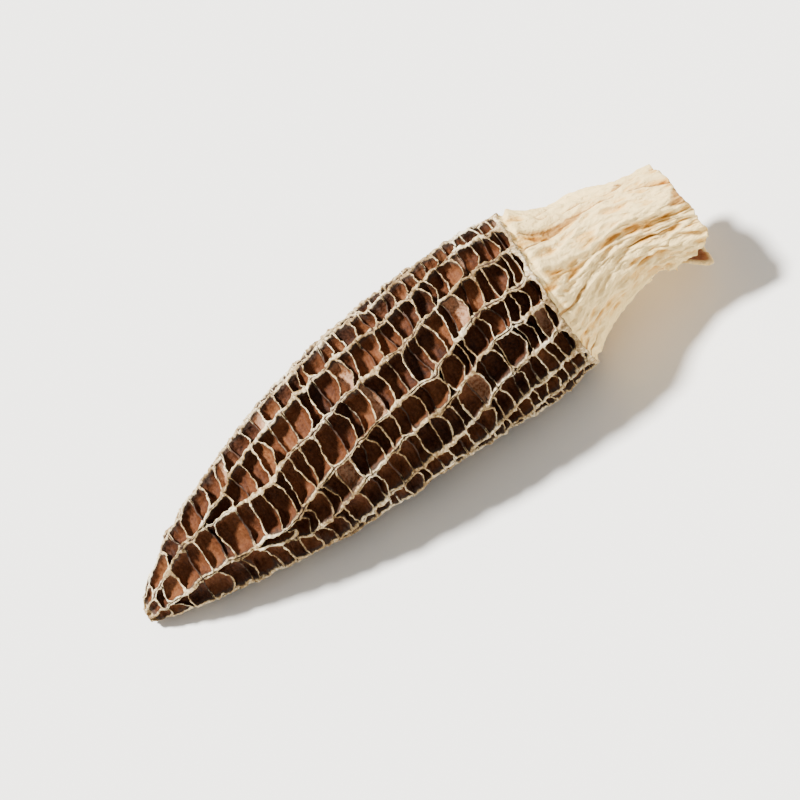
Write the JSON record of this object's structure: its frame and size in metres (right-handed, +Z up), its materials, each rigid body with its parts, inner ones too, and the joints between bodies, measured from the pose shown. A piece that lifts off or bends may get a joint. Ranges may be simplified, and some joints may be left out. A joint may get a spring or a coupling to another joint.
{
  "type": "dried morel mushroom",
  "caption": "Dried morel mushroom lying on its side: a long pointed honeycombed cap, hollow inside, on a pale wrinkled hollow stem with a cut end.",
  "frame": {"origin": "bottom centre of the bounding box, on the surface that the mushroom lies on", "axes": "+X along the mushroom from the tip of the cap to the cut end of the stem, +Z up"},
  "size_m": [0.0826, 0.0232, 0.0225],
  "materials": {
    "cap": "dry, dark red-brown pits with a slight satin sheen and matte pale crests",
    "stem": "dry matte cream, mealy and wrinkled"
  },
  "bodies": {
    "root": {"cap": "cap", "stem": "stem"}
  },
  "joints": []
}
